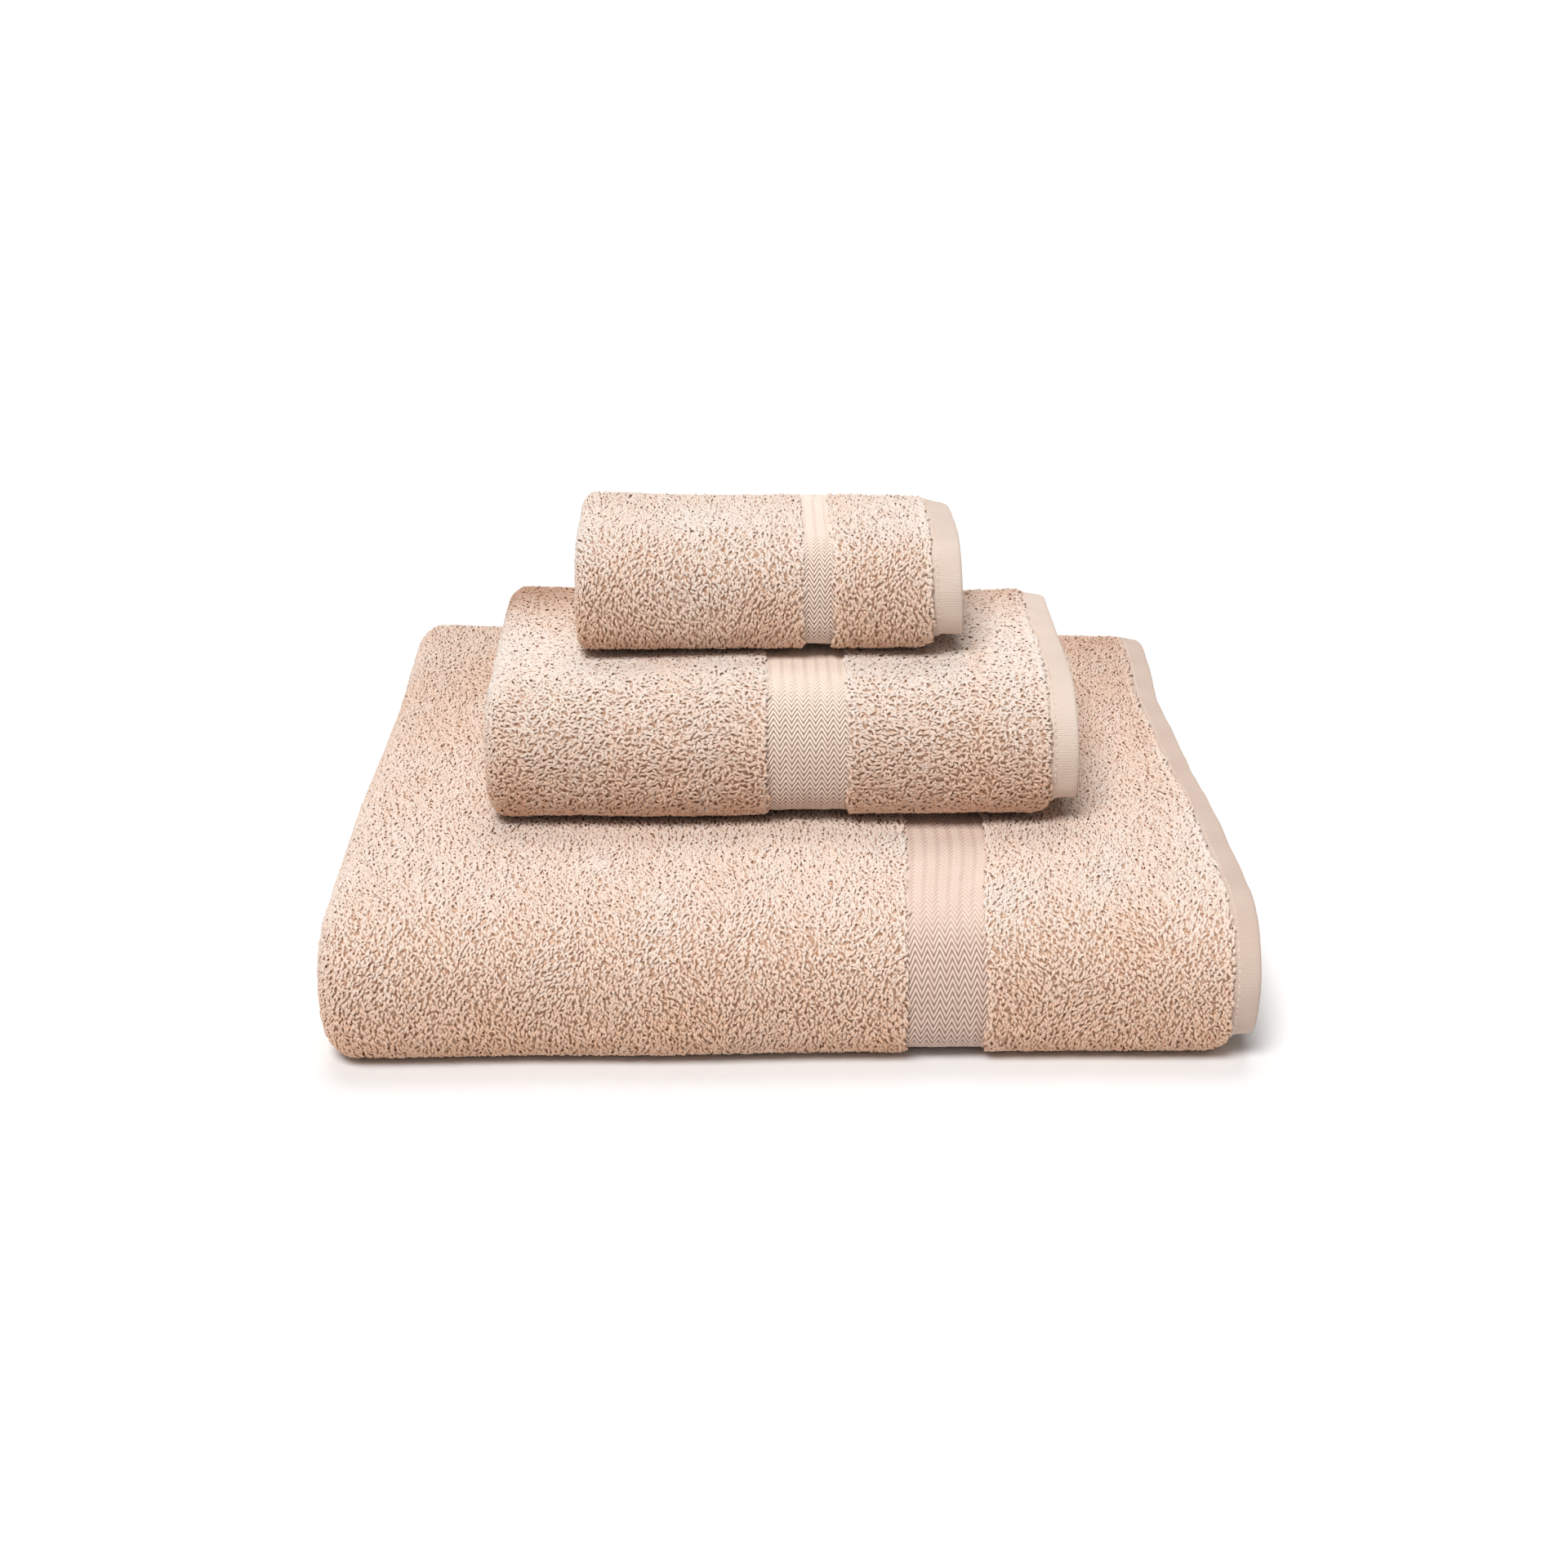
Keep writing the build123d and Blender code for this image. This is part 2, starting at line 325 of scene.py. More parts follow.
    def settle(self, points):
        """Lets the folded towel sag and swell a little, as handled cloth does."""
        towel = self.towel
        x, y, z = points[..., 0], points[..., 1], points[..., 2]
        level = (z - self.base) / self.height
        depth = (y - self.front) / (self.back - self.front)
        near_back = smooth(depth, 0.55, 1.0)
        across = np.clip((x - self.left) / (self.right - self.left), 0, 1)
        shift = np.interp(across, [0, 1], towel.back_shift) * near_back
        raised = np.interp(across, [0, 1], towel.back_lift) * near_back * level
        nearness = 1 - smooth(y, self.front, self.front + self.height)
        push = towel.settle * ripple(x, z, 0.05, towel.seed + 4) * nearness
        aside = self.sideways(x, y, level, depth)
        lift = self.unevenness(x, y, level) + raised - self.droop(x, y, level, near_back)
        return np.stack([x + aside, y + push + shift, z + lift], axis=-1)

    def sideways(self, x, y, level, depth):
        """How far the cloth lies to the right of a square fold."""
        towel = self.towel
        leftness = 1 - smooth(x, self.left, self.left + SIDE_REACH)
        rightness = smooth(x, self.right - SIDE_REACH, self.right)
        tuck = self.corner(y, LEFT_CORNER) * 0.4 * leftness
        tuck = tuck - self.corner(y, RIGHT_CORNER) * 0.2 * rightness
        left_swell = (0.5 + 0.5 * smooth(depth, 0, 0.25)) * (1 - smooth(depth, 0.35, 0.75))
        left_swell = towel.side_swell[0] * left_swell * (0.5 + 0.5 * level) * leftness
        right_swell = smooth(depth, 0, 0.15) * (1 - smooth(depth, 0.3, 0.5))
        flare = towel.back_flare * smooth(depth, 0.7, 1)
        right_swell = (towel.side_swell[1] * right_swell + flare) * rightness
        band_x = self.right - self.band[0]
        lean = smooth(x, band_x - 75 * MM, band_x)
        lean = lean * (1 - smooth(x, band_x + 10 * MM, band_x + 80 * MM))
        lean = lean * smooth(depth, 0.03, 0.28) * (1 - smooth(depth, 0.5, 0.9))
        return tuck + right_swell - left_swell + towel.band_lean * lean * level

    def unevenness(self, x, y, level):
        """Gentle rises and falls of the surface, and small puckers beside the end hem."""
        towel = self.towel
        rise = ripple(x, y, 0.055, towel.seed + 3) * smooth(level, 0.1, 1.0)
        beside_hem = smooth(x, self.right - 45 * MM, self.right - 12 * MM)
        puckers = 0.45 * ripple(y, 0.15 * x, 0.009, towel.seed + 15) * beside_hem * level
        return towel.settle * (rise + puckers)

    def droop(self, x, y, level, near_back):
        """How much lower the free edges hang, less what the hem's thinness lifts it by."""
        back = BACK_DROOP * smooth(y, self.back - 9 * MM, self.back) * level
        hem = HEM_DROOP * (1 + 1.5 * near_back) * level
        hem = hem * smooth(x, self.right - HEM_REACH, self.right)
        near_hem = smooth(x, self.right - 18 * MM, self.right - 6 * MM)
        return back + hem - HEM_LIFT_SHARE * self.height * near_hem * (1 - level) ** 2

    def corner(self, y, radius):
        """How far the outline comes in at a back corner rounded to a radius."""
        behind = np.clip((y - (self.back - radius)) / radius, 0, 1)
        return radius * (1 - np.sqrt(1 - 0.98 * behind * behind))

    def outer_end(self):
        """The s at which the outer skin has turned under at the folded left end."""
        return self.bends[0][1]


def spaced(stops, sizes):
    """Values from the first stop to the last, with steps about as long as each size."""
    values = [stops[0]]
    for start, end, size in zip(stops[:-1], stops[1:], sizes):
        count = max(1, round((end - start) / size))
        values += list(start + (end - start) * np.arange(1, count + 1) / count)
    return np.array(values)


class Builder:
    """Gathers quads with their texture places and two shade values a point.

    The first value, height, goes from a yarn's foot to its crest or from a groove to a ridge,
    and on a hem it counts ribs. The second, tone, goes from deep to pale.
    """

    def __init__(self):
        self.points, self.quads, self.uvs, self.values = [], [], [], []
        self.count = 0

    def add(self, points, quads, uvs, values):
        """Adds quads that number their own points from 0."""
        self.points.append(points)
        self.quads.append(quads + self.count)
        self.uvs.append(uvs)
        self.values.append(values)
        self.count += len(points)

    def finish(self, name, material, fold):
        """Makes the piece and lets it ride on its towel's body."""
        points = np.concatenate(self.points).astype(np.float32)
        quads = np.concatenate(self.quads).astype(np.int32)
        uvs = np.concatenate(self.uvs).astype(np.float32)
        values = np.concatenate(self.values).astype(np.float32)
        mesh = bpy.data.meshes.new(name)
        mesh.vertices.add(len(points))
        mesh.vertices.foreach_set("co", points.ravel())
        mesh.loops.add(quads.size)
        mesh.loops.foreach_set("vertex_index", quads.ravel())
        mesh.polygons.add(len(quads))
        mesh.polygons.foreach_set("loop_start", np.arange(0, quads.size, 4, dtype=np.int32))
        mesh.update(calc_edges=True)
        mesh.polygons.foreach_set("use_smooth", np.ones(len(quads), bool))
        layer = mesh.uv_layers.new(name="OFBake")
        layer.data.foreach_set("uv", uvs.ravel())
        for k, attribute in enumerate(("height", "tone")):
            shade = mesh.attributes.new(attribute, "FLOAT", "POINT")
            shade.data.foreach_set("value", values[:, k].copy())
        mesh.materials.append(material)
        piece = bpy.data.objects.new(name, mesh)
        bpy.context.scene.collection.objects.link(piece)
        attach(piece, fold.towel.name)
        return piece


def grid_quads(rows, columns):
    """Quads over a grid of points that is stored row by row."""
    i, j = np.meshgrid(np.arange(rows - 1), np.arange(columns - 1), indexing="ij")
    first = (i * columns + j).ravel()
    return np.stack([first, first + 1, first + columns + 1, first + columns], axis=1)


def corner_uvs(u, v, quads):
    """Texture places of the corners of quads, from one place a point."""
    return np.stack([u.ravel()[quads], v.ravel()[quads]], axis=-1)


def add_patch(builder, points, u, v, values, flip=False):
    """Adds a grid of points, shaped rows by columns by 3."""
    rows, columns = points.shape[:2]
    quads = grid_quads(rows, columns)
    uvs = corner_uvs(u, v, quads)
    if flip:
        quads, uvs = quads[:, ::-1], uvs[:, ::-1]
    builder.add(points.reshape(-1, 3), quads, uvs, values)


def cloth_levels(fold, s, t):
    """How far the ground cloth's two faces stand off its middle.

    It leaves room for loops where they show, and between hidden layers it fills that room.
    """
    towel = fold.towel
    deep = fold.pitch / 2 - FILL_GAP
    side = np.minimum(t, fold.width - t)
    end = np.minimum(s, fold.length - s)
    covered = np.minimum(side - SIDE_HEM, end - fold.hem)
    bulk = smooth(covered, OPEN_PILE, OPEN_PILE + FILL_RAMP)
    hidden = fold.skin + (deep - fold.skin) * bulk
    outer_s = fold.outer_end()
    reach = fold.around + (fold.bend_back if towel.panels > 2 else 0)
    shown = 1 - smooth(s, outer_s + SHOWN_PAST, outer_s + FILLED_PAST)
    if towel.panels > 2:
        shown = shown * (1 - smooth(t, reach + SHOWN_PAST, reach + FILLED_PAST))
    if len(fold.bends) > 1:
        start, finish = fold.bends[1]
        before = smooth(s, start - FILLED_PAST, start - SHOWN_PAST)
        after = 1 - smooth(s, finish + SHOWN_PAST, finish + FILLED_PAST)
        shown = np.maximum(shown, before * after)
    band_start, band_end = fold.band
    in_band = smooth(s, band_start - 0.2 * MM, band_start + 0.6 * MM)
    in_band = in_band * (1 - smooth(s, band_end - 0.6 * MM, band_end + 0.2 * MM))
    in_hem = 1 - smooth(covered, -0.8 * MM, 0.2 * MM)
    mat = MAT_DEPTH * smooth(covered, -0.3 * MM, 0.5 * MM)
    open_face = fold.skin + mat * (1 - in_band) - BAND_SEAT * in_band
    face = shown * open_face + (1 - shown) * hidden
    face = face * (1 - in_hem) + (fold.skin - HEM_COVER) * in_hem
    back = hidden * (1 - in_hem) + (HEM_THICKNESS - fold.skin - HEM_COVER) * in_hem
    return face, back


def sheet_grid(fold):
    """Where the ground cloth has points: close together at folds and edges."""
    hem, end = fold.hem, fold.length
    band_start, band_end = fold.band
    stops = [0, hem - MM, hem + MM, band_start - MM, band_start + MM, band_end - MM, band_end + MM]
    sizes = [4 * MM, MM, 4 * MM, MM, 4 * MM, MM]
    steps = [4 * MM, 3 * MM, 9 * MM, 1.6 * MM, 9 * MM, 1.6 * MM]
    for k, (start, finish) in enumerate(fold.bends):
        stops += [start, finish]
        sizes += [steps[2 * k], steps[2 * k + 1]]
    stops += [end - hem - 14 * MM, end - hem - MM, end - hem + MM, end]
    sizes += [9 * MM, 3 * MM, MM, 4 * MM]
    s = spaced(stops, sizes)
    edges = [0, SIDE_HEM - MM, SIDE_HEM + MM, SIDE_HEM + 14 * MM]
    far = [fold.width - edge for edge in reversed(edges)]
    if fold.towel.panels == 2:
        middle = [fold.under_at - 8 * MM, fold.shoulder_at + 8 * MM]
        lengths = [6 * MM, 2.2 * MM, 6 * MM]
    else:
        middle = [fold.around - fold.shoulder_at - 8 * MM, fold.around - fold.under_at + 8 * MM,
                  fold.around, fold.around + fold.bend_back]
        lengths = [5 * MM, 2.2 * MM, 5 * MM, 2.2 * MM, 5 * MM]
    t = spaced(edges + middle + far, [4 * MM, MM, 3 * MM] + lengths + [3 * MM, MM, 4 * MM])
    return s, t


def make_sheet(fold, material):
    """The whole folded ground cloth, one closed layer from hem to hem."""
    s, t = sheet_grid(fold)
    grid_s, grid_t = np.meshgrid(s, t, indexing="ij")
    face, back = cloth_levels(fold, grid_s, grid_t)
    rows, columns = grid_s.shape
    outer = fold.place(grid_s, grid_t, face)
    inner = fold.place(grid_s, grid_t, -back)
    u, v = grid_s / fold.length, grid_t / fold.width
    quads = grid_quads(rows, columns)
    count = rows * columns
    index = np.arange(count).reshape(rows, columns)
    rim = np.concatenate([index[0, :], index[1:, -1], index[-1, -2::-1], index[-2:0:-1, 0]])
    ahead = np.roll(rim, -1)
    rim_quads = np.stack([rim, rim + count, ahead + count, ahead], axis=1)
    along = np.arange(len(rim)) / len(rim)
    next_along = along + 1 / len(rim)
    low, high = np.full(len(rim), 0.97), np.full(len(rim), 0.99)
    rim_u = np.stack([along, along, next_along, next_along], axis=1)
    rim_v = np.stack([low, high, high, low], axis=1)
    rim_uv = np.stack([rim_u, rim_v], axis=-1)
    points = np.concatenate([outer.reshape(-1, 3), inner.reshape(-1, 3)])
    face_uvs = corner_uvs(0.49 * u, 0.96 * v, quads)
    back_uvs = corner_uvs(0.51 + 0.49 * u, 0.96 * v, quads)[:, ::-1]
    all_quads = np.concatenate([quads, quads[:, ::-1] + count, rim_quads[:, ::-1]])
    uvs = np.concatenate([face_uvs, back_uvs, rim_uv[:, ::-1]])
    builder = Builder()
    builder.add(points, all_quads, uvs, np.zeros((2 * count, 2)))
    return builder.finish(fold.towel.name + "_cloth", material, fold)


def band_rows(start, end, step):
    """Places across the cloth, and how far each lies from its groove, in zigzag steps."""
    shares = np.array(BAND_SHARES)
    count = int((end - start) / step)
    rows = (start + step * (np.arange(count)[:, None] + shares)).ravel()
    beside = np.tile(np.minimum(shares, 1 - shares), count)
    return rows, beside


def make_band(fold, material):
    """The flat-woven zigzag band, set lower than the pile on both sides of it.

    The rows of its mesh follow the zigzag lines, so that their grooves stay sharp.
    """
    towel = fold.towel
    start, end = fold.band
    reach = fold.around + (fold.bend_back if towel.panels > 2 else 0)
    turns = np.arange(start, end, towel.zigzag_pitch / 2)
    turns = turns[(turns > start + 2 * BAND_EDGE) & (turns < end - 2 * BAND_EDGE)]
    stops = [start - BAND_EDGE, start + BAND_EDGE, *turns, end - BAND_EDGE, end + BAND_EDGE]
    s = spaced(stops, [0.3 * MM] + [0.8 * MM] * (len(turns) + 1) + [0.3 * MM])
    low = MM
    high = fold.width - MM if towel.panels == 2 else reach
    t, beside = band_rows(low, high, towel.zigzag_step)
    grid_s, grid_t = np.meshgrid(s, t, indexing="ij")
    swing = np.abs((((grid_s - start) / towel.zigzag_pitch) % 1) - 0.5) * 2
    free = smooth(np.minimum(grid_t - low, high - grid_t), 0, 16 * MM)
    climb = towel.zigzag_rise * towel.zigzag_step * (swing - 0.5) * free
    knot = (2 * np.abs(swing - 0.5)) ** 12
    ridge = smooth(beside / (1 + 0.5 * knot), 0, 0.3)
    sink = 1 - smooth(np.minimum(grid_s - start, end - grid_s), -BAND_EDGE, BAND_EDGE)
    wander = 0.12 * MM * ripple(grid_s, grid_t, 0.006, towel.seed + 5)
    rise = fold.skin - 0.4 * MM + BAND_RELIEF * ridge + wander - 1.1 * MM * sink
    points = fold.place(grid_s, grid_t + climb, rise)
    u = (grid_s - s[0]) / (s[-1] - s[0])
    v = (grid_t - t[0]) / (t[-1] - t[0])
    builder = Builder()
    tone = weave_tone(fold, points, ripple(grid_s, grid_t * 0.3, 0.004, towel.seed + 6))
    # Painted light: near the towel's top most of the painted groove shade is taken out, so the
    # band shows paler there, as if lit from above.
    ridge = 1 - (1 - ridge) * (1 - 0.7 * smooth(points[..., 2], fold.top - 14 * MM, fold.top))
    add_patch(builder, points, u, v, np.stack([ridge.ravel(), tone.ravel()], axis=1))
    piece = builder.finish(towel.name + "_zigzag", material, fold)
    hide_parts(towel.name + "_band")
    return piece


def weave_tone(fold, points, variation):
    """Tone of flat-woven cloth: painted shade deepens it low down on the towel, and it is uneven.
    """
    level = np.clip((points[..., 2] - fold.base) / fold.height, 0, 1)
    # Painted shade: the lower on the towel, the deeper the tone.
    return np.clip(fold.towel.weave_tone - 0.4 * (1 - level) ** 2 + 0.08 * variation, 0, 1)


def hem_profile(width, face, back):
    """The outline of a folded-over hem: distance in from the edge, and rise.

    Its two inner edges are tucked a little into the cloth.
    """
    middle = (face - back) / 2
    half = (face + back) / 2
    turn = np.linspace(math.pi / 2, -math.pi / 2, 9)[1:-1]
    ins = np.concatenate([np.linspace(width, half, 9), half - half * np.cos(turn),
                          np.linspace(half, width, 9)])
    rises = np.concatenate([np.full(9, face), middle + half * np.sin(turn), np.full(9, -back)])
    rises[0] -= 0.9 * MM
    rises[-1] += 0.9 * MM
    return ins, rises


def add_hem(builder, fold, width, along, across_at, puckers, share, seed):
    """A hem strip wrapped round one edge of the cloth; across_at maps it to s and t."""
    face = fold.skin
    back = HEM_THICKNESS - fold.skin
    ins, rises = hem_profile(width, face, back)
    grid_a, grid_i = np.meshgrid(along, ins, indexing="ij")
    grid_r = np.broadcast_to(rises, grid_a.shape)
    wave = puckers * ripple(grid_a, grid_i * 0.4, 0.011, seed)
    middle = np.sin(np.clip(grid_i / width, 0, 1) * math.pi)
    s, t = across_at(grid_a, grid_i)
    points = fold.place(s, t, grid_r + wave * (0.5 + 0.5 * middle))
    around = np.linspace(0, 1, len(ins))
    u = (grid_a - along[0]) / (along[-1] - along[0])
    v = np.broadcast_to(share[0] + (share[1] - share[0]) * around, u.shape)
    tone = weave_tone(fold, points, ripple(grid_a, grid_i, 0.012, seed + 1))
    values = np.stack([(grid_a / RIB).ravel(), tone.ravel()], axis=1)
    add_patch(builder, points, u, v, values, flip=True)


def make_end_hem(fold, material, outer):
    """The hem across one end of the cloth."""
    towel = fold.towel
    builder = Builder()
    along = spaced([0, fold.width], [2.2 * MM])
    across_at = (lambda a, i: (i, a)) if outer else (lambda a, i: (fold.length - i, a))
    add_hem(builder, fold, fold.hem, along, across_at, 0.35 * MM, (0, 1), towel.seed + 7 + outer)
    name = towel.name + ("_end_hem" if outer else "_inner_end_hem")
    piece = builder.finish(name + "_cloth", material, fold)
    if not outer:
        piece.data.flip_normals()
    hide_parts(name)
    return piece


def make_side_hems(fold, material):
    """The narrow hems along both long sides of the cloth."""
    towel = fold.towel
    builder = Builder()
    stops = [fold.hem]
    sizes = []
    for start, finish in fold.bends:
        stops += [start, finish]
        sizes += [3 * MM, 1.5 * MM]
    stops.append(fold.length - fold.hem)
    sizes.append(3 * MM)
    along = spaced(stops, sizes)
    puckers = 0.3 * MM
    add_hem(builder, fold, SIDE_HEM, along, lambda a, i: (a, i), puckers, (0, 0.49),
            towel.seed + 9)
    far = Builder()
    add_hem(far, fold, SIDE_HEM, along, lambda a, i: (a, fold.width - i), puckers, (0.51, 1),
            towel.seed + 10)
    builder.add(far.points[0], far.quads[0][:, ::-1], far.uvs[0][:, ::-1], far.values[0])
    piece = builder.finish(towel.name + "_side_hem_cloth", material, fold)
    piece.data.flip_normals()
    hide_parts(towel.name + "_side_hems")
    return piece


def add_yarns(builder, fold, lines, radii, angles, tone, share, lift):
    """Half-round yarns along short lines, given in s, t and rise; their flat backs are open.

    Their height value goes from 0 at the cloth to 1 at a crest, and the pile paints shade where it
    is low. It is scaled by a yarn's share and then raised towards 1 by its lift.
    """
    count, rings = lines.shape[:2]
    tangent = np.gradient(lines, axis=1)
    tangent /= np.linalg.norm(tangent, axis=2, keepdims=True)
    chord = lines[:, -1] - lines[:, 0]
    level = np.stack([-chord[:, 1], chord[:, 0], 0 * chord[:, 0]], axis=1)
    level /= np.linalg.norm(level, axis=1, keepdims=True)
    level = np.repeat(level[:, None], rings, axis=1)
    level -= (level * tangent).sum(2, keepdims=True) * tangent
    level /= np.linalg.norm(level, axis=2, keepdims=True)
    upright = np.cross(tangent, level)
    angles = np.radians(angles)
    sides = len(angles)
    spokes = np.cos(angles)[:, None] * level[:, :, None]
    spokes = spokes + np.sin(angles)[:, None] * upright[:, :, None]
    points = lines[:, :, None] + spokes * radii[:, :, None, None]
    placed = fold.place(points[..., 0], points[..., 1], points[..., 2]).reshape(-1, 3)
    height = np.clip((np.abs(points[..., 2]) - fold.skin) / PILE, 0, 1)
    # Painted shade: the flanks of a yarn get a lower height than its crest.
    crest = np.clip(np.sin(angles), 0, 1)
    height = (0.5 * height + 0.5 * crest) * share[:, None, None]
    height = (height + (1 - height) * lift[:, None, None]).ravel()
    ring, side = np.meshgrid(np.arange(rings - 1), np.arange(sides - 1), indexing="ij")
    ring, side = ring.ravel(), side.ravel()
    one = np.stack([ring * sides + side, ring * sides + side + 1,
                    (ring + 1) * sides + side + 1, (ring + 1) * sides + side], axis=1)
    quads = (np.arange(count) * rings * sides)[:, None, None] + one
    cells = math.ceil(math.sqrt(count))
    number = np.arange(count)
    corner_u = np.stack([ring, ring, ring + 1, ring + 1], axis=1) / (rings - 1)
    corner_v = np.stack([side, side + 1, side + 1, side], axis=1) / (sides - 1)
    filled = 1 - 2 * UV_MARGIN
    u = ((number % cells)[:, None, None] + UV_MARGIN + filled * corner_u) / cells
    v = ((number // cells)[:, None, None] + UV_MARGIN + filled * corner_v) / cells
    uvs = np.stack([u, v], axis=-1)
    values = np.stack([height, np.repeat(tone, rings * sides)], axis=1)
    builder.add(placed, quads.reshape(-1, 4), uvs.reshape(-1, 4, 2), values)


def jittered(rng, s_range, t_range, spacing):
    """Points scattered evenly over a stretch of cloth, in staggered rows."""
    count_s = max(1, round((s_range[1] - s_range[0]) / spacing))
    count_t = max(1, round((t_range[1] - t_range[0]) / (spacing * 0.9)))
    i, j = np.meshgrid(np.arange(count_s), np.arange(count_t), indexing="ij")
    step_s = (s_range[1] - s_range[0]) / count_s
    step_t = (t_range[1] - t_range[0]) / count_t
    wander = rng.uniform(-0.38, 0.38, (2, count_s, count_t))
    s = s_range[0] + (i + 0.5 + 0.5 * ((j % 2) - 0.5) + wander[0]) * step_s
    t = t_range[0] + (j + 0.5 + wander[1]) * step_t
    return s.ravel(), t.ravel()


def pile_places(fold, rng):
    """Where loops stand: s, t, and +1 or -1 for the face of the cloth they stand on."""
    towel = fold.towel
    start = fold.hem + 0.2 * MM
    outer_s = fold.outer_end()
    inner_s = fold.length - start
    side_t = SIDE_HEM + 0.6 * MM
    far_t = fold.width - side_t
    whole = (side_t, far_t)
    regions = []
    if towel.panels == 2:
        bend_start = fold.bends[0][0]
        regions.append(((start, bend_start), (fold.under_at - 14 * MM, far_t), 1))
        regions.append(((bend_start, outer_s + LOOPS_PAST), whole, 1))
        open_sides = [(side_t, side_t + OPEN_PILE), (far_t - OPEN_PILE, far_t)]
        reach = far_t
    else:
        reach = fold.around + fold.bend_back
        regions.append(((start, outer_s + LOOPS_PAST), (side_t, reach), 1))
        inner_fold = (fold.bends[0][0] - SHOWN_PAST, outer_s + SHOWN_PAST)
        regions.append((inner_fold, (reach, far_t), 1))
        open_sides = [(side_t, side_t + OPEN_PILE)]
    regions.append(((fold.hem - 0.7 * MM, fold.hem + 1.3 * MM), (side_t, reach), 1))
    for t_range in open_sides:
        regions.append(((start, outer_s), t_range, -1))
        regions.append(((outer_s + LOOPS_PAST, inner_s), t_range, 1))
        regions.append(((outer_s, inner_s), t_range, -1))
    if len(fold.bends) > 1:
        bend_start, bend_end = fold.bends[1]
        regions.append(((bend_start - LOOPS_PAST, bend_end + LOOPS_PAST), whole, 1))
    regions.append(((start, start + OPEN_PILE), whole, -1))
    ends_at_right = len(towel.runs) % 2 == 0
    if ends_at_right:
        regions.append(((inner_s - OPEN_PILE, inner_s), whole, -1))
        regions.append(((inner_s - OPEN_PILE, inner_s), whole, 1))
    places = []
    for s_range, t_range, face in regions:
        s, t = jittered(rng, s_range, t_range, towel.loop_spacing)
        places.append(np.stack([s, t, np.full(len(s), float(face))]))
    s, t, face = np.concatenate(places, axis=1)
    band_start, band_end = fold.band
    in_band = (s > band_start + 0.8 * MM) & (s < band_end - 0.8 * MM) & (face > 0)
    return s[~in_band], t[~in_band], face[~in_band]


def loop_lines(fold, rng, s, t, face, patch):
    """The middle line of every loop, a short arch that leans its own way, and its radii."""
    towel = fold.towel
    count = len(s)
    stray = 0.6 * patch + rng.normal(0, 0.6, count)
    turn = np.radians(towel.loop_angle + towel.loop_spread * stray)
    long = towel.loop_length * rng.uniform(0.72, 1.2, count)
    radius = towel.loop_radius * rng.uniform(0.85, 1.15, count)
    clump = ripple(s, t, 0.007, towel.seed + 13)
    high = (PILE - radius) * (0.86 + 0.1 * clump + rng.uniform(-0.12, 0.12, count))
    curl = long * rng.normal(0, 0.3, count)
    share = np.array([0.0, 0.28, 0.72, 1.0])
    bow = np.array([0.0, 0.85, 0.85, 0.0])
    up = np.array([-0.1, 0.97, 0.97, -0.1])
    along = long[:, None] * (share - 0.5)
    aside = curl[:, None] * bow
    cos, sin = np.cos(turn)[:, None], np.sin(turn)[:, None]
    line_s = s[:, None] + along * cos - aside * sin
    line_t = t[:, None] + along * sin + aside * cos
    rise = fold.skin + high[:, None] * up
    lines = np.stack([line_s, line_t, rise * face[:, None]], axis=-1)
    return lines, radius[:, None] * np.array([0.8, 1.0, 1.0, 0.8])


def loop_shades(fold, rng, s, t, face, patch):
    """Every loop's tone, the share of its height that shows, and the lift of its height.

    Loops are painted paler high up and deeper low down, painted duller with shade at the back, and
    beside the band and hem the painted shade at their feet is lifted.
    """
    towel = fold.towel
    place = fold.place(s, t, face * fold.skin)
    level = np.clip((place[:, 2] - fold.base) / fold.height, 0, 1)
    depth = smooth(place[:, 1], fold.front + fold.height, fold.back)
    # The level part paints the loops paler and whiter high up and deeper and warmer low down:
    # painted light and shade, as light falls from above.
    tone = 0.3 * rng.uniform(0, 1, len(s)) + 0.7 * level ** 1.4
    broad = ripple(s, 0.6 * t, 0.05, towel.seed + 14)
    tone = np.clip(tone + 0.08 * patch + 0.06 * broad + towel.paleness, 0, 1)
    edges = np.array([fold.hem, *fold.band])
    beside = np.abs(s[:, None] - edges).min(axis=1)
    # Beside the band and hem, less so at the back, the painted shade at the loops' feet and flanks
    # is lifted.
    lift = 0.3 * (1 - smooth(beside, 0.8 * MM, 2.4 * MM)) * (1 - 0.8 * depth)
    across = np.clip((place[:, 0] - fold.left) / (fold.right - fold.left), 0, 1)
    # Painted shade: towards the back, and high up, loops show less of their pale crest.
    shade_at_back = np.interp(across, [0, 1], towel.painted_back_shade) * depth * level
    return tone, 1 - shade_at_back, lift


def make_pile(fold, material):
    """The terry loops: short arches of soft yarn that lean and curl their own ways."""
    towel = fold.towel
    rng = np.random.default_rng(towel.seed)
    s, t, face = pile_places(fold, rng)
    patch = ripple(s, 0.5 * t, 0.016, towel.seed + 12)
    lines, radii = loop_lines(fold, rng, s, t, face, patch)
    tone, share, lift = loop_shades(fold, rng, s, t, face, patch)
    builder = Builder()
    add_yarns(builder, fold, lines, radii, LOOP_PROFILE, tone, share, lift)
    piece = builder.finish(towel.name + "_pile", material, fold)
    return piece


def stitch_row(start, end):
    """Middles of the stitches in a row."""
    count = int((end - start) / (STITCH_LENGTH + STITCH_GAP))
    return start + (np.arange(count) + 0.5) * (end - start) / count


